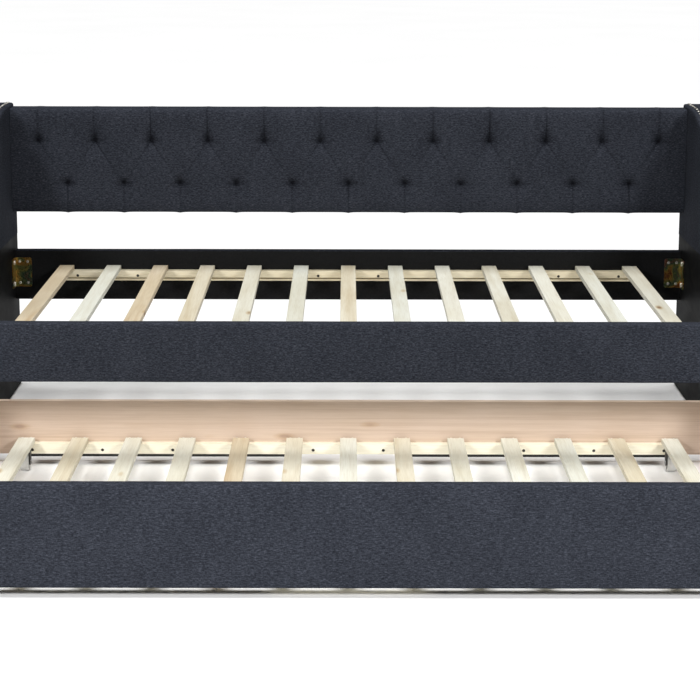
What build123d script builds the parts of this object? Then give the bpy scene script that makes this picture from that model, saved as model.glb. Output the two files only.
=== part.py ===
from build123d import *
import os

# Upholstered daybed with a trundle bed that rolls out from beneath it.
# Millimetres. +Z is up, +X runs along the bed, the open front faces -Y, and the origin is on
# the floor at the middle of the space that the bed takes with its trundle pulled out.

# ---- Driving dimensions of the daybed ----
room_length = 1940.0          # between the padded faces of the two arms
arm_thickness = 88.0
arm_depth = 1146.0            # front to back
arm_back_height = 835.0
arm_front_height = 600.0
arm_slope_length = 740.0      # of the S-shaped stretch along the arm's top
arm_corner_radius = 30.0
arm_inner_pad = 4.0
arm_outer_pad = 12.0
arm_edge_pad = 12.0           # over the top and down the front
arm_rear_pad = 8.0
lining_thickness = 1.0
lining_top = 452.0            # the arm's inner face is lined below this and padded above
glide_height = 5.0
glide_radius = 14.0
glide_inset = 40.0            # from the arm's ends to the middle of a glide

rail_base = 266.0             # underside of the two long rails
rail_height = 146.0
rail_thickness = 35.0
rail_pad = 5.0                # on the outer face
rail_edge_pad = 3.0           # on the top and bottom edges
rail_setback = 15.0           # front rail, behind the front of the arms
rear_rail_setback = 28.0      # rear rail, behind the front plane of the back panel
rail_end_gap = 0.5

panel_thickness = 85.0
panel_rear_setback = 6.0      # back panel, ahead of the rear of the arms
panel_top_drop = 9.0          # back panel, below the top of the arms
panel_opening = 116.0         # open space between the rear rail and the back panel
panel_board_thickness = 30.0
panel_rear_pad = 8.0
panel_edge_pad = 6.0
panel_end_gap = 1.0

tuft_columns = 12             # in the top row; the bottom row has one fewer
tuft_side_margin = 78.0
tuft_top_margin = 91.0
tuft_bottom_margin = 85.0
tuft_pit_radius = 13.0
tuft_pit_depth = 14.0
button_radius = 10.0
button_thickness = 7.0

nail_radius = 5.0
nail_dome = 3.0
nail_pitch = 27.0
nail_inset = 16.0             # from the arm's inner face to the line of nails
nail_seat_gap = 0.05
nail_end_margin = 14.0
nail_bottom_margin = 30.0

# ---- Driving dimensions of the two slatted decks ----
slat_count = 13
slat_width = 42.0
slat_thickness = 14.0
slat_round = 1.5
deck_slat_side_gap = 133.0    # from the lined face of an arm to the first slat
deck_slat_end_gap = 9.0       # from a rail to the end of a slat
deck_ledger_top = 356.0
ledger_depth = 25.0
deck_ledger_height = 28.5
ledger_groove_height = 4.0
ledger_groove_depth = 12.0
ledger_lip = 5.0              # below the groove
ledger_screw_count = 10
deck_screw_margin = 53.0      # from the end of the ledger to its first screw
deck_screw_rise = 14.0        # above the underside of the ledger

nail_shank_radius = 1.4
nail_head_radius = 3.0
nail_head_thickness = 1.0
nail_length = 30.0
nail_spread = 11.0            # either side of the middle of a slat
screw_radius = 2.2
screw_head_radius = 4.0
screw_head_height = 2.5
ledger_screw_length = 40.0
counterbore_depth = 4.0
hole_clearance = 0.1

# ---- Driving dimensions of the corner brackets and their fasteners ----
bracket_height = 86.0
bracket_leg = 50.0
bracket_plate = 3.0
bracket_base = 305.0
bracket_corner_radius = 7.0
bracket_screw_margin = 12.0   # from the plate's edges to its screws
bracket_screw_length = 25.0
bolt_radius = 3.0
bolt_head_radius = 7.0
bolt_head_height = 3.5
bracket_bolt_length = 55.0
panel_bolt_radius = 4.0
panel_bolt_head_radius = 8.0
panel_bolt_head_height = 5.0
panel_bolt_recess = 7.0
panel_bolt_grip = 60.0        # length inside the back panel
panel_bolt_margin = 60.0      # from the panel's edges

# ---- Driving dimensions of the trundle ----
pull_out = 807.0              # from closed, with its face flush with the front rail
trundle_side_gap = 8.0        # to the lined face of each arm
trundle_top_gap = 23.0        # under the front rail
trundle_rear_clearance = 58.0 # closed, ahead of the rear of the arms
trundle_base = 21.0
front_panel_thickness = 30.0
front_panel_pad = 5.0
front_panel_rear_pad = 4.0
front_panel_edge_pad = 4.0
rear_board_thickness = 16.0
end_board_thickness = 15.0
side_board_height = 139.0
trundle_slat_side_gap = 110.0 # from an end board to the first slat
trundle_slat_end_gap = 14.0
trundle_ledger_height = 26.0
trundle_screw_margin = 36.0
trundle_screw_rise = 10.0
strip_thickness = 7.0
strip_inner_end = 162.0
strip_outer_gap = 24.0        # from the end of the ledger to the end of the steel strip
corner_screw_length = 45.0
corner_screw_margin = 30.0    # from the edges of an end board

wheel_radius = 22.0
wheel_width = 22.0
wheel_edge_round = 2.5
wheel_hub_radius = 8.0
wheel_dish_radius = 17.0
wheel_dish_depth = 3.0
wheel_inset = 82.0            # from a long board of the trundle to the axle
wheel_offset = 5.0            # from the middle of the end slat, inwards
wheel_top_gap = 6.0
wheel_side_gap = 1.0
axle_radius = 3.0
axle_running_clearance = 0.05
axle_head_radius = 5.0
axle_head_thickness = 2.0
fork_plate = 3.0
fork_cheek = 2.5
fork_cheek_width = 26.0
fork_plate_length = 64.0
fork_screw_spacing = 48.0
fork_screw_length = 10.0

# ---- Places worked out from the driving dimensions ----
total_depth = arm_depth - rail_setback + pull_out
back_y = total_depth / 2
arm_front_y = back_y - arm_depth
arm_face_x = room_length / 2
core_face_x = arm_face_x + arm_inner_pad
lined_face_x = core_face_x - lining_thickness
core_outer_x = arm_face_x + arm_thickness - arm_outer_pad
core_thickness = core_outer_x - core_face_x

panel_rear_y = back_y - panel_rear_setback
panel_front_y = panel_rear_y - panel_thickness
rail_top = rail_base + rail_height
panel_base = rail_top + panel_opening
panel_top = arm_back_height - panel_top_drop
panel_height = panel_top - panel_base
panel_length = room_length - 2 * panel_end_gap
panel_board_y = panel_rear_y - panel_rear_pad - panel_board_thickness / 2

rail_length = 2 * (lined_face_x - rail_end_gap)
rail_mid_z = rail_base + rail_height / 2
rail_board_thickness = rail_thickness - rail_pad - lining_thickness
rail_board_height = rail_height - 2 * rail_edge_pad
front_rail_outer_y = arm_front_y + rail_setback
front_rail_inner_y = front_rail_outer_y + rail_thickness
rear_rail_inner_y = panel_front_y + rear_rail_setback
rear_rail_outer_y = rear_rail_inner_y + rail_thickness

deck_slat_reach = lined_face_x - deck_slat_side_gap - slat_width / 2
deck_slat_pitch = 2 * deck_slat_reach / (slat_count - 1)
deck_slat_length = rear_rail_inner_y - front_rail_inner_y - 2 * deck_slat_end_gap
deck_mid_y = (rear_rail_inner_y + front_rail_inner_y) / 2
deck_ledger_base = deck_ledger_top - deck_ledger_height
deck_ledger_length = 2 * (deck_slat_reach + slat_width / 2)

trundle_length = 2 * (lined_face_x - trundle_side_gap)
trundle_face_y = front_rail_outer_y - pull_out
trundle_depth = arm_depth - rail_setback - trundle_rear_clearance
front_panel_height = rail_base - trundle_top_gap - trundle_base
front_panel_rear_y = trundle_face_y + front_panel_thickness
rear_board_rear_y = trundle_face_y + trundle_depth
rear_board_face_y = rear_board_rear_y - rear_board_thickness
trundle_ledger_top = 2 * wheel_radius + wheel_top_gap + fork_plate
trundle_ledger_base = trundle_ledger_top - trundle_ledger_height
end_board_face_x = trundle_length / 2 - end_board_thickness
trundle_slat_reach = end_board_face_x - trundle_slat_side_gap - slat_width / 2
trundle_slat_pitch = 2 * trundle_slat_reach / (slat_count - 1)
trundle_slat_length = rear_board_face_y - front_panel_rear_y - 2 * trundle_slat_end_gap
trundle_mid_y = (rear_board_face_y + front_panel_rear_y) / 2
trundle_ledger_length = 2 * (trundle_slat_reach + slat_width / 2)
strip_outer_end = trundle_ledger_length / 2 - strip_outer_gap
wheel_x = trundle_slat_reach - wheel_offset
wheel_ys = {"rear": rear_board_face_y - wheel_inset, "front": front_panel_rear_y + wheel_inset}
wheel_xs = {"left": -wheel_x, "right": wheel_x}
fork_gap = wheel_width + 2 * wheel_side_gap

BOTTOM_UP = (Align.CENTER, Align.CENTER, Align.MIN)
TOP_DOWN = (Align.CENTER, Align.CENTER, Align.MAX)

os.makedirs("parts", exist_ok=True)


def save(builder, label):
    """Names a finished piece and writes it."""
    builder.part.label = label
    export_step(builder.part, f"parts/{label}.step")


def row(count, pitch):
    """Evenly spaced places along X, centred on the middle of the bed."""
    return [(i - (count - 1) / 2) * pitch for i in range(count)]


def facing(x, y, z, direction):
    """A plane at a fastener's seat, facing the way its head points."""
    return Plane(origin=(x, y, z), z_dir=direction)


def fastener(shank_radius, length, head_radius, head_height):
    """A round-headed screw: its head stands on z = 0 and its shank runs down from there."""
    with BuildPart() as screw:
        Cylinder(head_radius, head_height, align=BOTTOM_UP)
        fillet(screw.edges().group_by(Axis.Z)[-1], head_height * 0.6)
        Cylinder(shank_radius, length, align=TOP_DOWN)
    return screw.part


def drill(planes, radius, depth):
    """Pilot holes in the part being built, down from each seat."""
    with Locations(*planes):
        Cylinder(radius, depth, align=TOP_DOWN, mode=Mode.SUBTRACT)


def arm_side(x, top_drop, front_inset, rear_inset, base):
    """Side view of an arm on the plane at x: high behind, with an S-shaped fall to a low front."""
    high = arm_back_height - top_drop
    low = arm_front_height - top_drop
    slope_start = (panel_front_y, high)
    slope_end = (panel_front_y - arm_slope_length, low)
    slope_middle = (panel_front_y - arm_slope_length / 2, (high + low) / 2)
    front = arm_front_y + front_inset
    rear = back_y - rear_inset
    with BuildSketch(Plane.YZ.offset(x)) as side:
        with BuildLine():
            Line((rear, base), (rear, high))
            Line((rear, high), slope_start)
            TangentArc(slope_start, slope_middle, tangent=(-1, 0))
            TangentArc(slope_end, slope_middle, tangent=(1, 0))
            Line(slope_end, (front, low))
            Line((front, low), (front, base))
            Line((front, base), (rear, base))
        make_face()
        front_top = side.vertices().sort_by(Axis.X)[:2].sort_by(Axis.Y)[-1]
        fillet(front_top, arm_corner_radius - front_inset)
    return side.sketch


# ---- Seats of the fasteners, shared by the pieces that they pass through ----
deck_screw_pitch = (deck_ledger_length - 2 * deck_screw_margin) / (ledger_screw_count - 1)
trundle_screw_pitch = (trundle_ledger_length - 2 * trundle_screw_margin) / (ledger_screw_count - 1)
TOWARDS_FRONT = (0, -1, 0)
TOWARDS_REAR = (0, 1, 0)
UP = (0, 0, 1)
DOWN = (0, 0, -1)


def ledger_screw_seats(pitch, face_y, z, direction):
    """Seats of the screws that hold a ledger, at the bottom of their counterbores."""
    seat_y = face_y - direction[1] * counterbore_depth
    return [facing(x, seat_y, z, direction) for x in row(ledger_screw_count, pitch)]


def slat_nail_seats(x, y_low, y_high, top):
    """Seats of the four nails that hold one slat on its two ledgers."""
    ys = (y_low + ledger_depth / 2, y_high - ledger_depth / 2)
    seat = top - nail_head_thickness
    return [facing(x + side * nail_spread, y, seat, UP) for y in ys for side in (-1, 1)]


deck_nails = {}
for x in row(slat_count, deck_slat_pitch):
    deck_nails[x] = slat_nail_seats(
        x, front_rail_inner_y, rear_rail_inner_y, deck_ledger_top + slat_thickness
    )
trundle_nails = {}
for x in row(slat_count, trundle_slat_pitch):
    trundle_nails[x] = slat_nail_seats(
        x, front_panel_rear_y, rear_board_face_y, trundle_ledger_top + slat_thickness
    )

deck_screw_z = deck_ledger_base + deck_screw_rise
rear_deck_screws = ledger_screw_seats(
    deck_screw_pitch, rear_rail_inner_y - ledger_depth, deck_screw_z, TOWARDS_FRONT
)
front_deck_screws = ledger_screw_seats(
    deck_screw_pitch, front_rail_inner_y + ledger_depth, deck_screw_z, TOWARDS_REAR
)
trundle_screw_z = trundle_ledger_base + trundle_screw_rise
rear_trundle_screws = ledger_screw_seats(
    trundle_screw_pitch, rear_board_face_y - ledger_depth, trundle_screw_z, TOWARDS_FRONT
)
front_trundle_screws = ledger_screw_seats(
    trundle_screw_pitch, front_panel_rear_y + ledger_depth, trundle_screw_z, TOWARDS_REAR
)

bracket_zs = (bracket_base + bracket_screw_margin, bracket_base + bracket_height - bracket_screw_margin)
# Each bracket: side of the bed, the rail face that it lies on, and the way that face looks.
corners = [
    (side, face_y, out) for side in (-1, 1)
    for face_y, out in ((rear_rail_inner_y, -1), (front_rail_inner_y, 1))
]
bracket_screws = []
bracket_bolts = []
for side, face_y, out in corners:
    for z in bracket_zs:
        for from_corner in (bracket_screw_margin + bracket_plate, bracket_leg - bracket_screw_margin):
            x = side * (lined_face_x - from_corner)
            bracket_screws.append(facing(x, face_y + out * bracket_plate, z, (0, out, 0)))
        bolt_y = face_y + out * bracket_leg / 2
        bracket_bolts.append(facing(side * (lined_face_x - bracket_plate), bolt_y, z, (-side, 0, 0)))

panel_bolts = [
    facing(side * (core_outer_x - panel_bolt_recess), panel_board_y, z, (side, 0, 0))
    for side in (-1, 1) for z in (panel_base + panel_bolt_margin, panel_top - panel_bolt_margin)
]
panel_bolt_length = core_thickness - panel_bolt_recess + arm_inner_pad + panel_end_gap + panel_bolt_grip

corner_screw_zs = (trundle_base + corner_screw_margin, trundle_base + side_board_height - corner_screw_margin)
end_board_mid_x = trundle_length / 2 - end_board_thickness / 2
rear_corner_screws = [
    facing(side * end_board_mid_x, rear_board_rear_y, z, TOWARDS_REAR)
    for side in (-1, 1) for z in corner_screw_zs
]
front_corner_seat_y = trundle_face_y + front_panel_pad + counterbore_depth
front_corner_screws = [
    facing(side * end_board_mid_x, front_corner_seat_y, z, TOWARDS_FRONT)
    for side in (-1, 1) for z in corner_screw_zs
]
fork_screws = [
    facing(x, y + end * fork_screw_spacing / 2, trundle_ledger_top - fork_plate, DOWN)
    for x in wheel_xs.values() for y in wheel_ys.values() for end in (-1, 1)
]

screw_hole = screw_radius + hole_clearance
nail_hole = nail_shank_radius + hole_clearance
bolt_hole = bolt_radius + hole_clearance
panel_bolt_hole = panel_bolt_radius + hole_clearance

# ---- Arms: a core panel, a padded linen cover open at the foot, glides and nailheads ----
for side, side_name in ((-1, "left"), (1, "right")):
    low_x = min(side * core_face_x, side * core_outer_x)
    side_panel_bolts = [seat for seat in panel_bolts if seat.origin.X * side > 0]
    side_bracket_bolts = [seat for seat in bracket_bolts if seat.origin.X * side > 0]
    with BuildPart() as arm_core:
        extrude(
            arm_side(low_x, arm_edge_pad, arm_edge_pad, arm_rear_pad, glide_height),
            amount=core_thickness,
        )
        drill(side_panel_bolts, panel_bolt_hole, core_thickness)
        with Locations(*side_panel_bolts):
            Cylinder(
                panel_bolt_head_radius + hole_clearance, panel_bolt_recess,
                align=BOTTOM_UP, mode=Mode.SUBTRACT,
            )
        drill(side_bracket_bolts, bolt_hole, bracket_bolt_length + hole_clearance)
    save(arm_core, f"arm_core_{side_name}")

    low_x = min(side * arm_face_x, side * (arm_face_x + arm_thickness))
    cavity_x = min(side * core_face_x, side * core_outer_x)
    with BuildPart() as arm_cover:
        extrude(arm_side(low_x, 0, 0, 0, glide_height), amount=arm_thickness)
        extrude(
            arm_side(cavity_x, arm_edge_pad, arm_edge_pad, arm_rear_pad, 0),
            amount=core_thickness, mode=Mode.SUBTRACT,
        )
        with BuildSketch(Plane.XY):
            with Locations((side * (arm_face_x + arm_inner_pad / 2), back_y - arm_depth / 2)):
                Rectangle(arm_inner_pad, arm_depth)
        extrude(amount=lining_top, mode=Mode.SUBTRACT)
        drill(side_panel_bolts, panel_bolt_hole, core_thickness + arm_inner_pad)
    save(arm_cover, f"arm_cover_{side_name}")

glide_ys = (arm_front_y + glide_inset, back_y - arm_depth / 2, back_y - glide_inset)
with BuildPart() as floor_glides:
    with Locations(*[(s * (core_face_x + core_outer_x) / 2, y, 0) for s in (-1, 1) for y in glide_ys]):
        Cylinder(glide_radius, glide_height, align=BOTTOM_UP)
    chamfer(floor_glides.edges().group_by(Axis.Z)[0], 1)
save(floor_glides, "floor_glides")

nail_x = arm_face_x + nail_inset
slope_start = (nail_x, panel_front_y, arm_back_height)
slope_middle = (
    nail_x, panel_front_y - arm_slope_length / 2, (arm_back_height + arm_front_height) / 2
)
slope_end = (nail_x, panel_front_y - arm_slope_length, arm_front_height)
with BuildLine() as top_edge:
    Line((nail_x, back_y - nail_end_margin, arm_back_height), slope_start)
    TangentArc(slope_start, slope_middle, tangent=TOWARDS_FRONT)
    TangentArc(slope_end, slope_middle, tangent=TOWARDS_REAR)
    Line(slope_end, (nail_x, arm_front_y + arm_corner_radius, arm_front_height))
top_path = Wire(top_edge.edges())
if top_path.position_at(0).Y < top_path.position_at(1).Y:
    top_start, top_step = 1.0, -1.0
else:
    top_start, top_step = 0.0, 1.0
top_nail_count = int(top_path.length // nail_pitch) + 1
nail_seats = []
for i in range(top_nail_count):
    share = top_start + top_step * i * nail_pitch / top_path.length
    along = top_path.tangent_at(share)
    outward = Vector(0, -along.Z, along.Y)
    outward = outward if outward.Z > 0 else -outward
    nail_seats.append((top_path.position_at(share), outward))
front_nail_count = int((arm_front_height - arm_corner_radius - nail_bottom_margin) // nail_pitch) + 1
for i in range(front_nail_count):
    z = arm_front_height - arm_corner_radius - i * nail_pitch
    nail_seats.append((Vector(nail_x, arm_front_y, z), Vector(TOWARDS_FRONT)))

with BuildPart() as nailhead:
    Cylinder(nail_radius, nail_dome, align=BOTTOM_UP)
    fillet(nailhead.edges().group_by(Axis.Z)[-1], nail_dome * 0.8)
with BuildPart() as arm_nailheads:
    for side in (-1, 1):
        seats = [
            Plane(
                origin=(side * place.X, place.Y + out.Y * nail_seat_gap, place.Z + out.Z * nail_seat_gap),
                x_dir=(1, 0, 0), z_dir=out,
            )
            for place, out in nail_seats
        ]
        with Locations(*seats):
            add(nailhead.part)
save(arm_nailheads, "arm_nailheads")

# ---- Back panel: board, tufted pad and its buttons ----
with BuildPart() as back_panel_board:
    with BuildSketch(Plane.YZ):
        with Locations((panel_board_y, (panel_base + panel_top) / 2)):
            Rectangle(panel_board_thickness, panel_height - 2 * panel_edge_pad)
    extrude(amount=panel_length / 2, both=True)
    drill(panel_bolts, panel_bolt_hole, panel_bolt_length + hole_clearance)
save(back_panel_board, "back_panel_board")

tuft_pitch = (panel_length - 2 * tuft_side_margin) / (tuft_columns - 1)
tuft_places = [(x, panel_top - tuft_top_margin) for x in row(tuft_columns, tuft_pitch)]
tuft_places += [(x, panel_base + tuft_bottom_margin) for x in row(tuft_columns - 1, tuft_pitch)]
with BuildPart() as back_panel_pad:
    with BuildSketch(Plane.YZ):
        with Locations((panel_front_y + panel_thickness / 2, (panel_base + panel_top) / 2)):
            Rectangle(panel_thickness, panel_height)
        with Locations((panel_board_y, (panel_base + panel_top) / 2)):
            Rectangle(
                panel_board_thickness, panel_height - 2 * panel_edge_pad, mode=Mode.SUBTRACT
            )
    extrude(amount=panel_length / 2, both=True)
    with Locations(*[facing(x, panel_front_y, z, TOWARDS_FRONT) for x, z in tuft_places]):
        Cylinder(tuft_pit_radius, tuft_pit_depth, align=TOP_DOWN, mode=Mode.SUBTRACT)
save(back_panel_pad, "back_panel_pad")

with BuildPart() as button:
    Cylinder(button_radius, button_thickness, align=BOTTOM_UP)
    fillet(button.edges().group_by(Axis.Z)[-1], button_thickness * 0.7)
with BuildPart() as back_panel_buttons:
    with Locations(
        *[facing(x, panel_front_y + tuft_pit_depth, z, TOWARDS_FRONT) for x, z in tuft_places]
    ):
        add(button.part)
save(back_panel_buttons, "back_panel_buttons")

# ---- Long rails: board, linen cover on three sides, black lining on the inner face ----
rails = (
    ("front", front_rail_outer_y, 1, front_rail_inner_y, front_deck_screws),
    ("back", rear_rail_outer_y, -1, rear_rail_inner_y, rear_deck_screws),
)
for rail_name, outer_y, inward, inner_y, ledger_seats in rails:
    board_y = inner_y - inward * (lining_thickness + rail_board_thickness / 2)
    rail_screws = [seat for seat in bracket_screws if seat.z_dir.Y * inward > 0]
    with BuildPart() as rail_board:
        with BuildSketch(Plane.YZ):
            with Locations((board_y, rail_mid_z)):
                Rectangle(rail_board_thickness, rail_board_height)
        extrude(amount=rail_length / 2, both=True)
        drill(ledger_seats, screw_hole, ledger_screw_length + hole_clearance)
        drill(rail_screws, screw_hole, bracket_screw_length + hole_clearance)
    save(rail_board, f"{rail_name}_rail_board")

    with BuildPart() as rail_cover:
        with BuildSketch(Plane.YZ):
            with Locations((inner_y - inward * (lining_thickness + rail_thickness) / 2, rail_mid_z)):
                Rectangle(rail_thickness - lining_thickness, rail_height)
            with Locations((board_y, rail_mid_z)):
                Rectangle(rail_board_thickness, rail_board_height, mode=Mode.SUBTRACT)
        extrude(amount=rail_length / 2, both=True)
    save(rail_cover, f"{rail_name}_rail_cover")

with BuildPart() as lining_cloths:
    with BuildSketch(Plane.YZ):
        for outer_y, inward, inner_y in [(rail[1], rail[2], rail[3]) for rail in rails]:
            with Locations((inner_y - inward * lining_thickness / 2, rail_mid_z)):
                Rectangle(lining_thickness, rail_height)
    extrude(amount=rail_length / 2, both=True)
    lining_depth = arm_depth - arm_edge_pad - arm_rear_pad
    for side in (-1, 1):
        with BuildSketch(Plane.XY.offset(glide_height)):
            with Locations((
                side * (core_face_x - lining_thickness / 2),
                arm_front_y + arm_edge_pad + lining_depth / 2,
            )):
                Rectangle(lining_thickness, lining_depth)
        extrude(amount=lining_top - glide_height)
    drill(rear_deck_screws + front_deck_screws, screw_hole, ledger_screw_length)
    drill(bracket_screws, screw_hole, bracket_screw_length)
    drill(bracket_bolts, bolt_hole, bracket_bolt_length)
save(lining_cloths, "lining_cloths")

# ---- Deck of the daybed: grooved ledgers and slats ----
all_deck_nails = [seat for seats in deck_nails.values() for seat in seats]
all_trundle_nails = [seat for seats in trundle_nails.values() for seat in seats]
for ledger_name, inner_y, inward, seats in (
    ("rear", rear_rail_inner_y, -1, rear_deck_screws),
    ("front", front_rail_inner_y, 1, front_deck_screws),
):
    face_y = inner_y + inward * ledger_depth
    with BuildPart() as ledger:
        with BuildSketch(Plane.YZ):
            with Locations((inner_y + inward * ledger_depth / 2, deck_ledger_top - deck_ledger_height / 2)):
                Rectangle(ledger_depth, deck_ledger_height)
            groove_z = deck_ledger_base + ledger_lip + ledger_groove_height / 2
            with Locations((face_y - inward * ledger_groove_depth / 2, groove_z)):
                Rectangle(ledger_groove_depth, ledger_groove_height, mode=Mode.SUBTRACT)
        extrude(amount=deck_ledger_length / 2, both=True)
        drill(seats, screw_hole, ledger_screw_length)
        with Locations(*seats):
            Cylinder(
                screw_head_radius + hole_clearance, counterbore_depth,
                align=BOTTOM_UP, mode=Mode.SUBTRACT,
            )
        drill(all_deck_nails, nail_hole, nail_length + hole_clearance)
    save(ledger, f"deck_ledger_{ledger_name}")


def drill_for_nails(seats):
    """Nail holes through a slat, with shallow seats for the heads."""
    drill(seats, nail_hole, slat_thickness)
    with Locations(*seats):
        Cylinder(
            nail_head_radius + hole_clearance, nail_head_thickness,
            align=BOTTOM_UP, mode=Mode.SUBTRACT,
        )


for number, x in enumerate(deck_nails, start=1):
    with BuildPart() as deck_slat:
        with BuildSketch(Plane.XY.offset(deck_ledger_top)):
            with Locations((x, deck_mid_y)):
                Rectangle(slat_width, deck_slat_length)
        extrude(amount=slat_thickness)
        fillet(deck_slat.edges().filter_by(Axis.Y), slat_round)
        drill_for_nails(deck_nails[x])
    save(deck_slat, f"deck_slat_{number:02d}")

# ---- Corner brackets ----
with BuildPart() as corner_brackets:
    for side, face_y, out in corners:
        corner = (side * lined_face_x, face_y)
        with BuildSketch(Plane.XY.offset(bracket_base)):
            with BuildLine():
                FilletPolyline(
                    (corner[0] - side * bracket_leg, face_y + out * bracket_plate / 2),
                    (corner[0] - side * bracket_plate / 2, face_y + out * bracket_plate / 2),
                    (corner[0] - side * bracket_plate / 2, face_y + out * bracket_leg),
                    radius=bracket_plate,
                )
            trace(line_width=bracket_plate)
        extrude(amount=bracket_height)
    rail_leg_ends = corner_brackets.edges().filter_by(Axis.Y).filter_by(
        lambda edge: edge.length < 2 * bracket_plate
    )
    arm_leg_ends = corner_brackets.edges().filter_by(Axis.X).filter_by(
        lambda edge: edge.length < 2 * bracket_plate
    )
    fillet(rail_leg_ends + arm_leg_ends, bracket_corner_radius)
    drill(bracket_screws, screw_hole, bracket_screw_length)
    drill(bracket_bolts, bolt_hole, bracket_bolt_length)
save(corner_brackets, "corner_brackets")

# ---- Fasteners of the daybed ----
bracket_screw = fastener(screw_radius, bracket_screw_length, screw_head_radius, screw_head_height)
bracket_bolt = fastener(bolt_radius, bracket_bolt_length, bolt_head_radius, bolt_head_height)
panel_bolt = fastener(
    panel_bolt_radius, panel_bolt_length, panel_bolt_head_radius, panel_bolt_head_height
)
with BuildPart() as frame_bolts:
    with Locations(*bracket_screws):
        add(bracket_screw)
    with Locations(*bracket_bolts):
        add(bracket_bolt)
    with Locations(*panel_bolts):
        add(panel_bolt)
save(frame_bolts, "frame_bolts")

ledger_screw = fastener(screw_radius, ledger_screw_length, screw_head_radius, screw_head_height)
slat_nail = fastener(nail_shank_radius, nail_length, nail_head_radius, nail_head_thickness)
with BuildPart() as deck_screws:
    with Locations(*rear_deck_screws, *front_deck_screws):
        add(ledger_screw)
    with Locations(*all_deck_nails):
        add(slat_nail)
save(deck_screws, "deck_screws")

# ---- Trundle: front panel, boards, ledgers, strips and slats ----
front_board_thickness = front_panel_thickness - front_panel_pad - front_panel_rear_pad
front_board_y = trundle_face_y + front_panel_pad + front_board_thickness / 2
front_board_height = front_panel_height - 2 * front_panel_edge_pad
front_panel_mid_z = trundle_base + front_panel_height / 2
with BuildPart() as trundle_front_board:
    with BuildSketch(Plane.YZ):
        with Locations((front_board_y, front_panel_mid_z)):
            Rectangle(front_board_thickness, front_board_height)
    extrude(amount=trundle_length / 2, both=True)
    drill(front_corner_screws, screw_hole, front_board_thickness)
    with Locations(*front_corner_screws):
        Cylinder(
            screw_head_radius + hole_clearance, counterbore_depth,
            align=BOTTOM_UP, mode=Mode.SUBTRACT,
        )
    drill(front_trundle_screws, screw_hole, ledger_screw_length + hole_clearance)
save(trundle_front_board, "trundle_front_board")

with BuildPart() as trundle_front_cover:
    with BuildSketch(Plane.YZ):
        with Locations((trundle_face_y + front_panel_thickness / 2, front_panel_mid_z)):
            Rectangle(front_panel_thickness, front_panel_height)
        with Locations((front_board_y, front_panel_mid_z)):
            Rectangle(front_board_thickness, front_board_height, mode=Mode.SUBTRACT)
    extrude(amount=trundle_length / 2, both=True)
    drill(front_corner_screws, screw_hole, corner_screw_length)
    drill(front_trundle_screws, screw_hole, ledger_screw_length)
save(trundle_front_cover, "trundle_front_cover")

side_board_mid_z = trundle_base + side_board_height / 2
with BuildPart() as trundle_rear_board:
    with BuildSketch(Plane.YZ):
        with Locations((rear_board_rear_y - rear_board_thickness / 2, side_board_mid_z)):
            Rectangle(rear_board_thickness, side_board_height)
    extrude(amount=trundle_length / 2, both=True)
    drill(rear_corner_screws, screw_hole, corner_screw_length)
    drill(rear_trundle_screws, screw_hole, ledger_screw_length)
    chamfer(trundle_rear_board.edges().group_by(Axis.Z)[-1].filter_by(Axis.X), 1)
save(trundle_rear_board, "trundle_rear_board")

for side, side_name in ((-1, "left"), (1, "right")):
    with BuildPart() as end_board:
        with BuildSketch(Plane.YZ.offset(side * end_board_mid_x)):
            with Locations((trundle_mid_y, side_board_mid_z)):
                Rectangle(rear_board_face_y - front_panel_rear_y, side_board_height)
        extrude(amount=end_board_thickness / 2, both=True)
        drill(rear_corner_screws, screw_hole, corner_screw_length + hole_clearance)
        drill(front_corner_screws, screw_hole, corner_screw_length + hole_clearance)
        chamfer(end_board.edges().group_by(Axis.Z)[-1].filter_by(Axis.Y), 1)
    save(end_board, f"trundle_end_board_{side_name}")

for ledger_name, face_y, inward, seats in (
    ("rear", rear_board_face_y, -1, rear_trundle_screws),
    ("front", front_panel_rear_y, 1, front_trundle_screws),
):
    with BuildPart() as ledger:
        with BuildSketch(Plane.YZ):
            with Locations((
                face_y + inward * ledger_depth / 2,
                trundle_ledger_top - trundle_ledger_height / 2,
            )):
                Rectangle(ledger_depth, trundle_ledger_height)
        extrude(amount=trundle_ledger_length / 2, both=True)
        drill(seats, screw_hole, ledger_screw_length)
        with Locations(*seats):
            Cylinder(
                screw_head_radius + hole_clearance, counterbore_depth,
                align=BOTTOM_UP, mode=Mode.SUBTRACT,
            )
        drill(all_trundle_nails, nail_hole, nail_length + hole_clearance)
    save(ledger, f"trundle_ledger_{ledger_name}")

strip_length = strip_outer_end - strip_inner_end
strip_mid_x = (strip_outer_end + strip_inner_end) / 2
with BuildPart() as base_strips:
    with BuildSketch(Plane.XY.offset(trundle_ledger_base - strip_thickness)):
        with Locations(*[
            (side * strip_mid_x, y) for side in (-1, 1)
            for y in (rear_board_face_y - ledger_depth / 2, front_panel_rear_y + ledger_depth / 2)
        ]):
            Rectangle(strip_length, ledger_depth)
    extrude(amount=strip_thickness)
    chamfer(base_strips.edges().group_by(Axis.Z)[0], 1)
save(base_strips, "base_strips")

for number, x in enumerate(trundle_nails, start=1):
    fork_seats = [seat for seat in fork_screws if abs(seat.origin.X - x) < slat_width / 2]
    with BuildPart() as trundle_slat:
        with BuildSketch(Plane.XY.offset(trundle_ledger_top)):
            with Locations((x, trundle_mid_y)):
                Rectangle(slat_width, trundle_slat_length)
        extrude(amount=slat_thickness)
        fillet(trundle_slat.edges().filter_by(Axis.Y), slat_round)
        drill_for_nails(trundle_nails[x])
        if fork_seats:
            drill(fork_seats, screw_hole, fork_screw_length + hole_clearance)
    save(trundle_slat, f"trundle_slat_{number:02d}")

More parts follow.
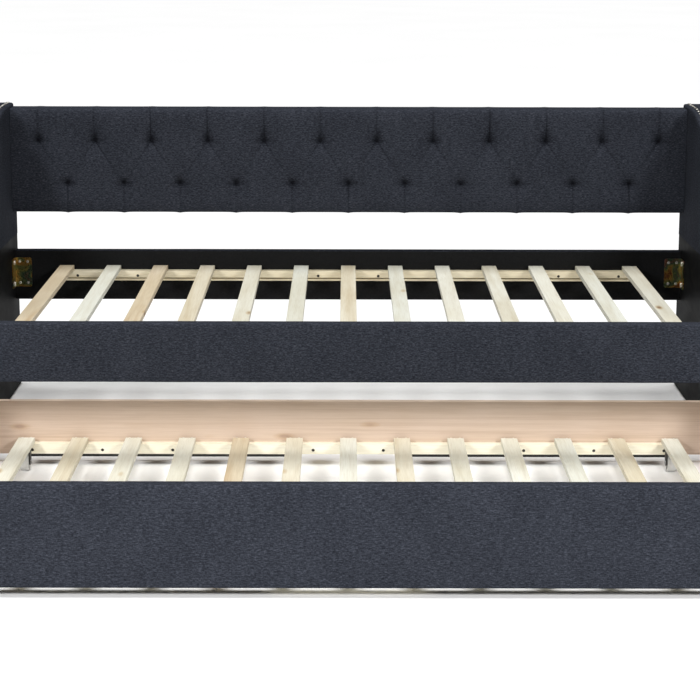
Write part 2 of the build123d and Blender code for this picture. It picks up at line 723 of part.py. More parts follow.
# ---- Casters: fork, axle and wheel ----
fork_plate_base = trundle_ledger_top - fork_plate
fork_outer_width = fork_gap + 2 * fork_cheek
with BuildPart() as caster_forks:
    for x in wheel_xs.values():
        for y in wheel_ys.values():
            with BuildSketch(Plane.XY.offset(fork_plate_base)):
                with Locations((x, y)):
                    RectangleRounded(fork_outer_width, fork_plate_length, fork_cheek)
            extrude(amount=fork_plate)
            for cheek_side in (-1, 1):
                cheek_x = x + cheek_side * (fork_gap + fork_cheek) / 2
                with BuildSketch(Plane.YZ.offset(cheek_x)):
                    with Locations((y, (wheel_radius + fork_plate_base) / 2)):
                        Rectangle(fork_cheek_width, fork_plate_base - wheel_radius)
                    with Locations((y, wheel_radius)):
                        Ellipse(fork_cheek_width / 2, axle_head_radius + fork_plate)
                extrude(amount=fork_cheek / 2, both=True)
            with BuildSketch(Plane.YZ.offset(x - fork_outer_width / 2)):
                with Locations((y, wheel_radius)):
                    Circle(axle_radius + hole_clearance)
            extrude(amount=fork_outer_width, mode=Mode.SUBTRACT)
    drill(fork_screws, screw_hole, fork_plate)
save(caster_forks, "caster_forks")

with BuildPart() as caster_axles:
    for x in wheel_xs.values():
        for y in wheel_ys.values():
            with BuildSketch(Plane.YZ.offset(x)):
                with Locations((y, wheel_radius)):
                    Circle(axle_radius)
            extrude(amount=fork_outer_width / 2 + axle_head_thickness, both=True)
            for end in (-1, 1):
                head_x = x + end * (fork_outer_width + axle_head_thickness) / 2
                with BuildSketch(Plane.YZ.offset(head_x)):
                    with Locations((y, wheel_radius)):
                        Circle(axle_head_radius)
                extrude(amount=axle_head_thickness / 2, both=True)
save(caster_axles, "caster_axles")

for end_name, y in wheel_ys.items():
    for side_name, x in wheel_xs.items():
        with BuildPart() as wheel:
            with BuildSketch(Plane.YZ.offset(x)):
                with Locations((y, wheel_radius)):
                    Circle(wheel_radius)
            extrude(amount=wheel_width / 2, both=True)
            fillet(wheel.edges(), wheel_edge_round)
            for face in (-1, 1):
                with BuildSketch(Plane.YZ.offset(x + face * wheel_width / 2)):
                    with Locations((y, wheel_radius)):
                        Circle(wheel_dish_radius)
                        Circle(wheel_hub_radius, mode=Mode.SUBTRACT)
                extrude(amount=-face * wheel_dish_depth, mode=Mode.SUBTRACT)
            with BuildSketch(Plane.YZ.offset(x)):
                with Locations((y, wheel_radius)):
                    Circle(axle_radius + axle_running_clearance)
            extrude(amount=wheel_width / 2, both=True, mode=Mode.SUBTRACT)
        save(wheel, f"wheel_{end_name}_{side_name}")

# ---- Fasteners of the trundle ----
corner_screw = fastener(screw_radius, corner_screw_length, screw_head_radius, screw_head_height)
fork_screw = fastener(screw_radius, fork_screw_length, screw_head_radius, screw_head_height)
with BuildPart() as trundle_screws:
    with Locations(*rear_trundle_screws, *front_trundle_screws):
        add(ledger_screw)
    with Locations(*rear_corner_screws, *front_corner_screws):
        add(corner_screw)
    with Locations(*fork_screws):
        add(fork_screw)
    with Locations(*all_trundle_nails):
        add(slat_nail)
save(trundle_screws, "trundle_screws")
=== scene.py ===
import bpy
import math
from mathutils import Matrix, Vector, noise


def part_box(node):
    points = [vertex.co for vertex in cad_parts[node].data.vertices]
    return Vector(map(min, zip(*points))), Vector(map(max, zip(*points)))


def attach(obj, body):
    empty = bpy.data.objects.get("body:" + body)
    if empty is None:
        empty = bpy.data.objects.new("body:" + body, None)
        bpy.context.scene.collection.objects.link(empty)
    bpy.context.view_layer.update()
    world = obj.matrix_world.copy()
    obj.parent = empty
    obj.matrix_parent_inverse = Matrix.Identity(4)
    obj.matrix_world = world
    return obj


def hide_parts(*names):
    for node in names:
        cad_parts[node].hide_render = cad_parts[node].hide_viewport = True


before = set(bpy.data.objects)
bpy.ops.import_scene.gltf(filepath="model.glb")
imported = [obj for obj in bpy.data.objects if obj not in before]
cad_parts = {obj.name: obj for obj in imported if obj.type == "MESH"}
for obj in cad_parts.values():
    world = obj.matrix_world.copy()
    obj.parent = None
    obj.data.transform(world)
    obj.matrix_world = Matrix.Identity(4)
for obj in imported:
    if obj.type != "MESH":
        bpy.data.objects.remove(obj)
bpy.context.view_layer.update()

X, Y, Z = 0, 1, 2
MM = 0.001
most_cuts = 90           # in one pass of subdivide
board_grid = 12 * MM     # spacing of the cuts across a wrapped board or a lining
arm_grid = 14 * MM
tuft_grid = 3.5 * MM


# ---------------------------------------------------------------- materials
def new_material(name):
    """An empty material, with its node tree and its Principled shader."""
    material = bpy.data.materials.new(name)
    material.use_nodes = True
    tree = material.node_tree
    shader = tree.nodes["Principled BSDF"]
    return material, tree, shader


def wire(tree, source, socket, target, entry):
    tree.links.new(source.outputs[socket], target.inputs[entry])


def pattern_place(tree, scale, shift=(0, 0, 0), cloth=False):
    """Pattern coordinates: the piece's own place, or its cloth map, stretched by scale."""
    if cloth:
        place = tree.nodes.new("ShaderNodeUVMap")
        place.uv_map = "cloth"
        socket = "UV"
    else:
        place = tree.nodes.new("ShaderNodeTexCoord")
        socket = "Object"
    mapping = tree.nodes.new("ShaderNodeMapping")
    mapping.inputs["Scale"].default_value = scale
    mapping.inputs["Location"].default_value = shift
    wire(tree, place, socket, mapping, "Vector")
    return mapping


def noise_field(tree, scale, detail=2, roughness=0.5, distortion=0, shift=(0, 0, 0), cloth=False):
    place = pattern_place(tree, scale, shift, cloth)
    field = tree.nodes.new("ShaderNodeTexNoise")
    field.inputs["Scale"].default_value = 1
    field.inputs["Detail"].default_value = detail
    field.inputs["Roughness"].default_value = roughness
    field.inputs["Distortion"].default_value = distortion
    wire(tree, place, "Vector", field, "Vector")
    return field


def ramp(tree, source, socket, stops):
    """Colours along a value: stops are (position, (r, g, b))."""
    node = tree.nodes.new("ShaderNodeValToRGB")
    elements = node.color_ramp.elements
    while len(elements) < len(stops):
        elements.new(0.5)
    for element, (position, colour) in zip(elements, stops):
        element.position = position
        element.color = (*colour, 1)
    wire(tree, source, socket, node, "Fac")
    return node


def blend_colours(tree, first, second, share, mode="MIX"):
    """Mixes two colour nodes; share is a number or a (node, socket)."""
    mix = tree.nodes.new("ShaderNodeMix")
    mix.data_type = "RGBA"
    mix.blend_type = mode
    if isinstance(share, tuple):
        wire(tree, share[0], share[1], mix, 0)
    else:
        mix.inputs[0].default_value = share
    tree.links.new(first, mix.inputs[6])
    tree.links.new(second, mix.inputs[7])
    return mix.outputs[2]


def arithmetic(tree, operation, first, second):
    """A Math node; each side is an output socket or a number."""
    node = tree.nodes.new("ShaderNodeMath")
    node.operation = operation
    for entry, value in enumerate((first, second)):
        if isinstance(value, (int, float)):
            node.inputs[entry].default_value = value
        else:
            tree.links.new(value, node.inputs[entry])
    return node.outputs[0]


def relief(tree, shader, height, distance, strength=1.0):
    bump = tree.nodes.new("ShaderNodeBump")
    bump.inputs["Distance"].default_value = distance
    bump.inputs["Strength"].default_value = strength
    tree.links.new(height, bump.inputs["Height"])
    wire(tree, bump, "Normal", shader, "Normal")


def roughness_range(tree, shader, source, low, high):
    """Roughness that follows a value between two limits."""
    node = tree.nodes.new("ShaderNodeMapRange")
    node.inputs["To Min"].default_value = low
    node.inputs["To Max"].default_value = high
    tree.links.new(source, node.inputs["Value"])
    wire(tree, node, "Result", shader, "Roughness")


def make_linen(name, dark, mid, light):
    """Heathered linen: long weft slubs, finer warp threads, a thread pattern and soft mottling, multiplied by
    painted shade where a piece's 'fold' attribute is set.
    """
    material, tree, shader = new_material(name)
    weft = noise_field(tree, (150, 640, 1), 2, 0.6, cloth=True)
    warp = noise_field(tree, (640, 190, 1), 2, 0.6, shift=(3.7, 1.9, 0), cloth=True)
    streaks = noise_field(tree, (60, 260, 1), 3, 0.6, shift=(8.1, 4.3, 0), cloth=True)
    mottle = noise_field(tree, (8, 7, 1), 4, 0.6, cloth=True)
    threads = arithmetic(tree, "MULTIPLY", weft.outputs["Fac"], 0.5)
    threads = arithmetic(tree, "ADD", threads, arithmetic(tree, "MULTIPLY", warp.outputs["Fac"], 0.22))
    threads = arithmetic(tree, "ADD", threads, arithmetic(tree, "MULTIPLY", streaks.outputs["Fac"], 0.28))
    tone = arithmetic(tree, "MULTIPLY", mottle.outputs["Fac"], 0.1)
    tone = arithmetic(tree, "ADD", threads, tone)
    tone = arithmetic(tree, "SUBTRACT", tone, 0.05)
    colours = ramp(tree, tone.node, "Value", [(0.36, dark), (0.5, mid), (0.66, light)])
    # painted shade: the 'fold' attribute darkens the linen in the tufting's pleats, pits and hollows,
    # standing in for their shadow
    fold = tree.nodes.new("ShaderNodeAttribute")
    fold.attribute_name = "fold"
    shade = ramp(tree, fold, "Fac", [(0, (1, 1, 1)), (1, (0.06, 0.06, 0.07))])
    cloth_colour = blend_colours(tree, colours.outputs["Color"], shade.outputs["Color"], 1, "MULTIPLY")
    tree.links.new(cloth_colour, shader.inputs["Base Color"])
    shader.inputs["Specular IOR Level"].default_value = 0.03
    roughness_range(tree, shader, threads, 0.85, 1)
    relief(tree, shader, threads, 0.5 * MM, 0.55)
    return material


def make_lining(name, gloss):
    """Thin black non-woven lining with fine creases; gloss is its dull shine."""
    material, tree, shader = new_material(name)
    fibres = noise_field(tree, (260, 260, 260), 4, 0.7)
    creases = noise_field(tree, (7, 7, 16), 3, 0.5, 0.8)
    colours = ramp(
        tree, fibres, "Fac", [(0.3, (0.0045, 0.0047, 0.005)), (0.7, (0.0105, 0.0108, 0.0113))]
    )
    wire(tree, colours, "Color", shader, "Base Color")
    shader.inputs["Specular IOR Level"].default_value = gloss
    roughness_range(tree, shader, creases.outputs["Fac"], 0.4, 0.65)
    height = arithmetic(tree, "MULTIPLY", fibres.outputs["Fac"], 0.12)
    height = arithmetic(tree, "ADD", height, creases.outputs["Fac"])
    relief(tree, shader, height, 2 * MM, 0.35)
    return material


def make_wood(name, along, pale, deep, seed, gloss=(0.45, 0.65), grain=1.0, across=34):
    """Planed softwood: long soft growth bands, fine fibres and a few darker streaks."""
    material, tree, shader = new_material(name)
    long_scale = [across, across, across]
    long_scale[along] = 1.3
    fibre_scale = [650, 650, 650]
    fibre_scale[along] = 14
    patch_scale = [11, 11, 11]
    patch_scale[along] = 2.6
    shift = (seed * 1.37, seed * 2.11, seed * 0.73)
    bands = noise_field(tree, long_scale, 5, 0.55, 0.9, shift)
    fibres = noise_field(tree, fibre_scale, 3, 0.6, 0, shift)
    patches = noise_field(tree, patch_scale, 2, 0.5, 0.3, shift)
    middle = tuple((p * 0.65 + d * 0.35) for p, d in zip(pale, deep))
    body = ramp(tree, bands, "Fac", [(0.3, deep), (0.46, middle), (0.56, pale), (0.75, middle)])
    tint = ramp(tree, patches, "Fac", [(0.35, (0.86, 0.82, 0.74)), (0.65, (1, 1, 1))])
    lines = ramp(tree, fibres, "Fac", [(0.32, (0.8, 0.76, 0.7)), (0.55, (1, 1, 1))])
    colour = blend_colours(tree, body.outputs["Color"], tint.outputs["Color"], 0.7 * grain, "MULTIPLY")
    colour = blend_colours(tree, colour, lines.outputs["Color"], 0.6 * grain, "MULTIPLY")
    knot_scale = [9, 9, 9]
    knot_scale[along] = 3
    cells = tree.nodes.new("ShaderNodeTexVoronoi")
    cells.inputs["Scale"].default_value = 1
    wire(tree, pattern_place(tree, knot_scale, shift), "Vector", cells, "Vector")
    knots = ramp(tree, cells, "Distance", [
        (0.03, (0.36, 0.2, 0.12)), (0.06, (0.8, 0.68, 0.52)), (0.1, (1, 1, 1)),
    ])
    colour = blend_colours(tree, colour, knots.outputs["Color"], 0.9 * grain, "MULTIPLY")
    tree.links.new(colour, shader.inputs["Base Color"])
    shader.inputs["Specular IOR Level"].default_value = 0.35
    roughness_range(tree, shader, fibres.outputs["Fac"], *gloss)
    height = arithmetic(tree, "MULTIPLY", fibres.outputs["Fac"], 0.5)
    height = arithmetic(tree, "ADD", height, bands.outputs["Fac"])
    relief(tree, shader, height, 0.35 * MM, 0.5)
    return material


def make_zinc(name):
    """Yellow chromate plating, with its gold, green and rose bloom."""
    material, tree, shader = new_material(name)
    bloom = noise_field(tree, (22, 22, 22), 2, 0.45, 0.8)
    grit = noise_field(tree, (300, 300, 300), 3, 0.6)
    colours = ramp(tree, bloom, "Fac", [
        (0.3, (0.2, 0.08, 0.04)), (0.42, (0.48, 0.27, 0.07)), (0.5, (0.25, 0.26, 0.09)),
        (0.58, (0.08, 0.14, 0.09)), (0.7, (0.34, 0.15, 0.1)),
    ])
    wire(tree, colours, "Color", shader, "Base Color")
    shader.inputs["Metallic"].default_value = 1
    roughness_range(tree, shader, grit.outputs["Fac"], 0.16, 0.42)
    relief(tree, shader, grit.outputs["Fac"], 0.15 * MM, 0.4)
    return material


def make_metal(name, dark, light, rough_low, rough_high, metallic=1.0):
    """Plain metal with handling marks: mottled colour and roughness."""
    material, tree, shader = new_material(name)
    marks = noise_field(tree, (130, 130, 130), 4, 0.6, 0.4)
    colours = ramp(tree, marks, "Fac", [(0.35, dark), (0.65, light)])
    wire(tree, colours, "Color", shader, "Base Color")
    shader.inputs["Metallic"].default_value = metallic
    roughness_range(tree, shader, marks.outputs["Fac"], rough_low, rough_high)
    relief(tree, shader, marks.outputs["Fac"], 0.1 * MM, 0.3)
    return material


def make_plastic(name, dark, light):
    """Moulded plastic: a fine satin grain with light scuffs."""
    material, tree, shader = new_material(name)
    grain_field = noise_field(tree, (420, 420, 420), 2, 0.5)
    scuffs = noise_field(tree, (30, 30, 30), 5, 0.65, 0.5)
    colours = ramp(tree, scuffs, "Fac", [(0.35, dark), (0.65, light)])
    wire(tree, colours, "Color", shader, "Base Color")
    roughness_range(tree, shader, scuffs.outputs["Fac"], 0.38, 0.6)
    relief(tree, shader, grain_field.outputs["Fac"], 0.1 * MM, 0.3)
    return material


def make_fixings(name, split_height):
    """Bright nail heads above a height, dark screw heads below it."""
    material, tree, shader = new_material(name)
    marks = noise_field(tree, (130, 130, 130), 4, 0.6, 0.4)
    bright = ramp(tree, marks, "Fac", [(0.35, (0.6, 0.6, 0.57)), (0.65, (0.85, 0.84, 0.8))])
    dark = ramp(tree, marks, "Fac", [(0.35, (0.03, 0.03, 0.03)), (0.65, (0.08, 0.075, 0.07))])
    place = tree.nodes.new("ShaderNodeTexCoord")
    split = tree.nodes.new("ShaderNodeSeparateXYZ")
    wire(tree, place, "Object", split, "Vector")
    upper = arithmetic(tree, "GREATER_THAN", split.outputs["Z"], split_height)
    mix = tree.nodes.new("ShaderNodeMix")
    mix.data_type = "RGBA"
    tree.links.new(upper, mix.inputs[0])
    tree.links.new(dark.outputs["Color"], mix.inputs[6])
    tree.links.new(bright.outputs["Color"], mix.inputs[7])
    tree.links.new(mix.outputs[2], shader.inputs["Base Color"])
    shader.inputs["Metallic"].default_value = 0.9
    roughness_range(tree, shader, marks.outputs["Fac"], 0.25, 0.45)
    relief(tree, shader, marks.outputs["Fac"], 0.1 * MM, 0.3)
    return material


linen = make_linen("navy_linen", (0.0098, 0.0111, 0.015), (0.0242, 0.027, 0.0352), (0.066, 0.073, 0.093))
rail_lining = make_lining("rail_lining_cloth", 0.09)
arm_lining = make_lining("arm_lining_cloth", 0.012)
frame_wood = make_wood("frame_wood", X, (0.55, 0.4, 0.25), (0.38, 0.26, 0.14), 9)
tan_board = make_wood(
    "tan_board_along", X, (0.69, 0.55, 0.45), (0.6, 0.455, 0.355), 5, (0.4, 0.55), 0.5, across=120
)
tan_end = make_wood(
    "tan_board_across", Y, (0.69, 0.55, 0.45), (0.61, 0.465, 0.365), 6, (0.4, 0.55), 0.45, across=120
)
ledger_pine = make_wood("ledger_pine", X, (0.86, 0.79, 0.6), (0.78, 0.69, 0.49), 2)
trundle_ledger_pine = make_wood("trundle_ledger_pine", X, (0.95, 0.91, 0.76), (0.9, 0.84, 0.66), 4, grain=0.6)
core_board = make_wood("core_board", X, (0.46, 0.34, 0.21), (0.34, 0.24, 0.14), 12)
zinc = make_zinc("yellow_zinc")
pewter = make_metal("pewter", (0.2, 0.19, 0.17), (0.55, 0.53, 0.48), 0.2, 0.42)
deck_fixings = make_fixings("deck_nails_and_screws", 0.365)
trundle_fixings = make_fixings("trundle_nails_and_screws", 0.062)
bright_nail = make_metal("bright_nail", (0.55, 0.54, 0.5), (0.8, 0.79, 0.75), 0.2, 0.4)
black_steel = make_metal("black_steel", (0.006, 0.006, 0.006), (0.02, 0.02, 0.02), 0.35, 0.6, 0.2)
bright_steel = make_metal("bright_steel", (0.4, 0.4, 0.4), (0.6, 0.6, 0.6), 0.2, 0.4)
nylon = make_plastic("wheel_nylon", (0.5, 0.5, 0.48), (0.62, 0.62, 0.6))
glide_plastic = make_plastic("glide_plastic", (0.01, 0.01, 0.01), (0.03, 0.03, 0.03))


# ---------------------------------------------------------------- modelling helpers
def finish_material(piece, material):
    piece.data.materials.clear()
    piece.data.materials.append(material)


def block(name, low, high):
    """A block between two corners, to be cut and shaped."""
    bpy.ops.object.select_all(action="DESELECT")
    middle = (Vector(low) + Vector(high)) / 2
    size = Vector(high) - Vector(low)
    bpy.ops.mesh.primitive_cube_add(size=1, location=middle, scale=size)
    piece = bpy.context.object
    piece.name = piece.data.name = name
    bpy.ops.object.transform_apply(location=True, rotation=True, scale=True)
    return piece


def in_edit(piece, kind, wanted, action):
    """Selects the vertices, edges or faces that are wanted and runs an edit-mode action on them."""
    bpy.ops.object.select_all(action="DESELECT")
    piece.select_set(True)
    bpy.context.view_layer.objects.active = piece
    bpy.ops.object.mode_set(mode="EDIT")
    bpy.ops.mesh.select_mode(type=kind)
    bpy.ops.mesh.select_all(action="DESELECT")
    bpy.ops.object.mode_set(mode="OBJECT")
    mesh = piece.data
    items = {"VERT": mesh.vertices, "EDGE": mesh.edges, "FACE": mesh.polygons}[kind]
    for item in items:
        if wanted(item):
            item.select = True
    bpy.ops.object.mode_set(mode="EDIT")
    action()
    bpy.ops.object.mode_set(mode="OBJECT")


def round_edges(piece, width, segments, wanted=lambda edge: True):
    in_edit(
        piece, "EDGE", wanted,
        lambda: bpy.ops.mesh.bevel(offset=width, segments=segments, profile=0.5, affect="EDGES"),
    )


def cut_across(piece, axis, spacing):
    """Cuts the piece square across an axis, about every `spacing` metres."""
    values = [v.co[axis] for v in piece.data.vertices]
    span = max(values) - min(values)
    wanted_parts = max(1, round(span / spacing))
    first = max(1, math.ceil(wanted_parts / most_cuts))
    second = max(1, math.ceil(wanted_parts / first))
    for parts, length in ((first, span), (second, span / first)):
        if parts < 2:
            continue
        mesh = piece.data

        def runs_along(edge, mesh=mesh, length=length):
            a, b = (mesh.vertices[i].co for i in edge.vertices)
            run = abs(a[axis] - b[axis])
            return run > 0.6 * length and run > 0.9 * (a - b).length

        in_edit(
            piece, "EDGE", runs_along,
            lambda parts=parts: bpy.ops.mesh.subdivide(number_cuts=parts - 1),
        )


def cut_at(piece, axis, place):
    """One cut across the whole piece."""
    point = [0, 0, 0]
    point[axis] = place
    normal = [0, 0, 0]
    normal[axis] = 1
    in_edit(
        piece, "FACE", lambda face: True,
        lambda: bpy.ops.mesh.bisect(plane_co=point, plane_no=normal),
    )


def lay_cloth(piece):
    """Lays the weave flat on each side of a piece: a map in metres, square on to its nearest axis."""
    mesh = piece.data
    cloth = mesh.uv_layers.get("cloth") or mesh.uv_layers.new(name="cloth")
    planes = {X: (Y, Z), Y: (X, Z), Z: (X, Y)}
    for face in mesh.polygons:
        across, up = planes[max((X, Y, Z), key=lambda axis: abs(face.normal[axis]))]
        for loop in face.loop_indices:
            place = mesh.vertices[mesh.loops[loop].vertex_index].co
            cloth.data[loop].uv = (place[across], place[up])


def smooth(piece, angle=math.radians(40)):
    bpy.ops.object.select_all(action="DESELECT")
    piece.select_set(True)
    bpy.context.view_layer.objects.active = piece
    bpy.ops.object.shade_smooth_by_angle(angle=angle)


def finish_piece(piece, body, material, nodes=()):
    finish_material(piece, material)
    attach(piece, body)
    if nodes:
        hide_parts(*nodes)
    return piece


def ripple(place, scale, seed):
    """Smooth noise from -1 to 1 at a place."""
    return noise.noise(Vector(place) * scale + Vector((seed, seed * 1.7, seed * 0.3)))


def edge_distance(value, low, high):
    return min(value - low, high - value)


# ---------------------------------------------------------------- upholstered boards
board_fullness = 30 * MM  # from the edge to where the padding is full
edge_band = 15 * MM       # along the long edges, where the linen pulls


def upholstered_board(name, low, high, round_width, crown):
    """A board wrapped in thin padding and linen: soft long edges and a faint crown."""
    piece = block(name, low, high)
    round_edges(piece, round_width, 4)
    cut_across(piece, X, board_grid)
    cut_across(piece, Z, board_grid)
    middle_y = (low[Y] + high[Y]) / 2
    seed = len(name) + low[Y]
    for vertex in piece.data.vertices:
        place = vertex.co
        face_side = 1 if place.y > middle_y else -1
        from_edge = min(edge_distance(place.z, low[Z], high[Z]), edge_distance(place.x, low[X], high[X]))
        share = max(0, min(1, from_edge / board_fullness))
        fullness = crown * share * (2 - share)
        wobble = 0.35 * MM * ripple(place, 9, seed) + 0.2 * MM * ripple(place, 26, seed + 5)
        place.y += face_side * (fullness - crown + wobble * share)
        pull = 0.6 * MM * ripple((place.x, 0, 0), 5, seed + 2)
        if place.z > high[Z] - edge_band or place.z < low[Z] + edge_band:
            place.z -= abs(pull) * (1 if place.z > (low[Z] + high[Z]) / 2 else -1)
    lay_cloth(piece)
    smooth(piece)
    return piece


for node in ("front_rail_cover", "back_rail_cover"):
    low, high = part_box(node)
    rail = upholstered_board(f"{node}_linen", low, high, 5 * MM, 0.8 * MM)
    finish_piece(rail, "daybed", linen, (node,))

low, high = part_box("trundle_front_cover")
end_wrap = Vector((1.5 * MM, 0, 0))
low, high = Vector(low) - end_wrap, Vector(high) + end_wrap
trundle_front = upholstered_board("trundle_front_linen", low, high, 6 * MM, 0.9 * MM)
finish_piece(trundle_front, "trundle", linen, ("trundle_front_cover",))

# ---------------------------------------------------------------- arms
core_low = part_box("arm_core_right")[0]
cover_low, cover_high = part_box("arm_cover_right")
lining_low, lining_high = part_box("lining_cloths")
panel_low, panel_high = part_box("back_panel_pad")
arm_low_top = 0.600
arm_slope = 0.740
corner_radius = 30 * MM
slope_cuts = 62
front_cuts = 22
arm_fullness = 70 * MM     # from an arm's rim to where the padding is full
slope_start = panel_low.y
slope_end = slope_start - arm_slope
slope_radius = (arm_slope ** 2 + (cover_high.z - arm_low_top) ** 2) / (4 * (cover_high.z - arm_low_top))


def arm_top(y):
    """Height of an arm's top: two arcs that meet half way down the slope."""
    if y >= slope_start:
        return cover_high.z
    if y <= slope_end:
        return arm_low_top
    middle = (slope_start + slope_end) / 2
    if y > middle:
        run = slope_start - y
        return cover_high.z - slope_radius + math.sqrt(slope_radius ** 2 - run ** 2)
    run = y - slope_end
    return arm_low_top + slope_radius - math.sqrt(slope_radius ** 2 - run ** 2)


def make_arm(side, side_name):
    """A padded arm: soft-edged, crowned sides, with the lining let in on its inner face."""
    name = f"arm_cover_{side_name}"
    low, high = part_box(name)
    inner_x = high.x if side < 0 else low.x
    outer_x = low.x if side < 0 else high.x
    lined_x = inner_x + side * (core_low.x - cover_low.x)
    lining_edge = lining_high.z
    piece = block(f"{name}_linen", low, (high.x, high.y, arm_low_top))

    def front_top(edge):
        ends = (piece.data.vertices[i].co for i in edge.vertices)
        return all(p.z > arm_low_top - MM and p.y < low.y + MM for p in ends)

    round_edges(piece, corner_radius, 8, front_top)
    cut_at(piece, Y, slope_end)
    cut_across(piece, Z, arm_grid)
    for cut in range(1, slope_cuts):
        cut_at(piece, Y, slope_end + (high.y - slope_end) * cut / slope_cuts)
    flat_start = low.y + corner_radius
    for cut in range(1, front_cuts):
        cut_at(piece, Y, flat_start + (slope_end - low.y - corner_radius) * cut / front_cuts)
    base = low.z
    for vertex in piece.data.vertices:
        place = vertex.co
        if place.y > slope_end - MM:
            place.z = base + (place.z - base) * (arm_top(place.y) - base) / (arm_low_top - base)

    def rim(edge):
        mesh = piece.data
        a, b = (mesh.vertices[i].co for i in edge.vertices)
        if abs(a.x - b.x) > MM:
            return False
        return all(on_rim(p) for p in (a, b)) and not (a.z < base + MM and b.z < base + MM)

    def on_rim(p):
        if p.y < low.y + MM or p.y > high.y - MM:
            return True
        near = corner_radius + MM
        if p.y < low.y + near and p.z > arm_low_top - near:
            run, rise = low.y + corner_radius - p.y, p.z - (arm_low_top - corner_radius)
            return math.hypot(run, rise) > corner_radius - MM
        return p.z > arm_top(p.y) - MM

    round_edges(piece, 9 * MM, 4, rim)
    cut_at(piece, Z, lining_edge)
    cut_at(piece, Z, lining_edge + 3 * MM)
    seed = 3.1 if side < 0 else 7.7
    for vertex in piece.data.vertices:
        place = vertex.co
        inner = abs(place.x - inner_x) < MM
        outer = abs(place.x - outer_x) < MM
        from_edge = min(
            edge_distance(place.y, low.y, high.y), arm_top(place.y) - place.z, place.z - base + 20 * MM
        )
        share = max(0, min(1, from_edge / arm_fullness))
        if inner and place.z < lining_edge + MM:
            place.x = lined_x
        elif inner or outer:
            wobble = 0.5 * MM * ripple(place, 5, seed) + 0.3 * MM * ripple(place, 17, seed)
            away = -side if inner else side
            place.x += away * (-0.8 * MM + 0.8 * MM * share * (2 - share) + wobble * share * 0.6)
    lay_cloth(piece)
    smooth(piece)
    finish_piece(piece, "daybed", linen, (name,))
    return piece


for side, side_name in ((-1, "left"), (1, "right")):
    make_arm(side, side_name)


# ---------------------------------------------------------------- linings
lining_thickness = MM
lining_trim = 2 * MM     # short of a rail's long edges


def lining_sheet(name, low, high, across, slack, cloth):
    """A thin black cloth stapled over a face; `across` is the axis that it is thin along."""
    piece = block(name, low, high)
    for axis in (X, Y, Z):
        if axis != across:
            cut_across(piece, axis, board_grid)
    seed = low[0] + low[1]
    for vertex in piece.data.vertices:
        place = vertex.co
        fold = ripple((place.x, place.y, place.z * 2.2), 6, seed)
        place[across] += slack(place) * fold
    smooth(piece)
    return finish_piece(piece, "daybed", cloth)


deck_ledger_low, deck_ledger_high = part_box("deck_ledger_rear")
rail_low, rail_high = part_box("front_rail_cover")
back_low, back_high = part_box("back_rail_cover")


def rail_slack(place):
    """Lining folds stay small behind the ledger and grow above and below it."""
    if deck_ledger_low.z - 4 * MM < place.z < deck_ledger_high.z + 4 * MM:
        return 0.1 * MM
    near_end = max(0, min(1, (abs(place.x) - 0.6) / 0.3))
    return (0.6 + 1.2 * near_end) * MM


lining_sheet(
    "front_rail_lining",
    (rail_low.x, rail_high.y, rail_low.z + lining_trim),
    (rail_high.x, rail_high.y + lining_thickness, rail_high.z - lining_trim), Y, rail_slack,
    rail_lining,
)
back_lining = lining_sheet(
    "back_rail_lining",
    (back_low.x, back_low.y - lining_thickness, back_low.z + lining_trim),
    (back_high.x, back_low.y, back_high.z - lining_trim), Y, rail_slack,
    rail_lining,
)
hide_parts("lining_cloths")
for side, side_name in ((-1, "left"), (1, "right")):
    face = side * core_low.x
    lined = side * (core_low.x - lining_thickness)
    lining_sheet(
        f"arm_lining_{side_name}",
        (min(face, lined), lining_low.y, lining_low.z),
        (max(face, lined), lining_high.y, lining_high.z + MM), X, lambda place: 0.25 * MM,
        arm_lining,
    )

# ---------------------------------------------------------------- tufted back panel
button_low, button_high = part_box("back_panel_buttons")
button_radius = 10 * MM
tuft_columns = 12
tuft_x = button_high.x - button_radius
tuft_pitch = 2 * tuft_x / (tuft_columns - 1)
top_row = button_high.z - button_radius
bottom_row = button_low.z + button_radius
top_tufts = [(-tuft_x + i * tuft_pitch, top_row) for i in range(tuft_columns)]
bottom_tufts = [(-tuft_x + (i + 0.5) * tuft_pitch, bottom_row) for i in range(tuft_columns - 1)]
tufts = top_tufts + bottom_tufts
pit_depth = 16 * MM
pit_radius = 12 * MM
hollow_depth = 4.5 * MM
hollow_radius = 42 * MM
crease_depth = 7 * MM
front_depth = 12 * MM    # how far in from the face the tufting still pulls
edge_zone = 10 * MM      # where the panel's long edges are scalloped


def to_segment(x, z, a, b):
    """Distance from a point to a pleat, and how far along it from a (0) to b (1)."""
    run = (b[0] - a[0], b[1] - a[1])
    length = math.hypot(*run)
    along = ((x - a[0]) * run[0] + (z - a[1]) * run[1]) / length ** 2
    along = max(0, min(1, along))
    return math.hypot(x - a[0] - along * run[0], z - a[1] - along * run[1]), along


pleats = []
for x, z in top_tufts:
    pleats.append(((x, z), (x, panel_high.z + 10 * MM), 1.0, 0.6 + 0.12 * ripple((x, 0, 0), 40, 4.4)))
for x, z in bottom_tufts:
    pleats.append(((x, z), (x, panel_low.z - 10 * MM), 0.75, 0.45))
    for side in (-1, 1):
        above = (x + side * tuft_pitch / 2, top_row)
        start = 0.85 + 0.15 * ripple((x * side, side, 0), 37, 8.8)
        end = 0.12 + 0.2 * ripple((x, side, 1), 31, 1.9)
        pleats.append((above, (x, z), start, end))


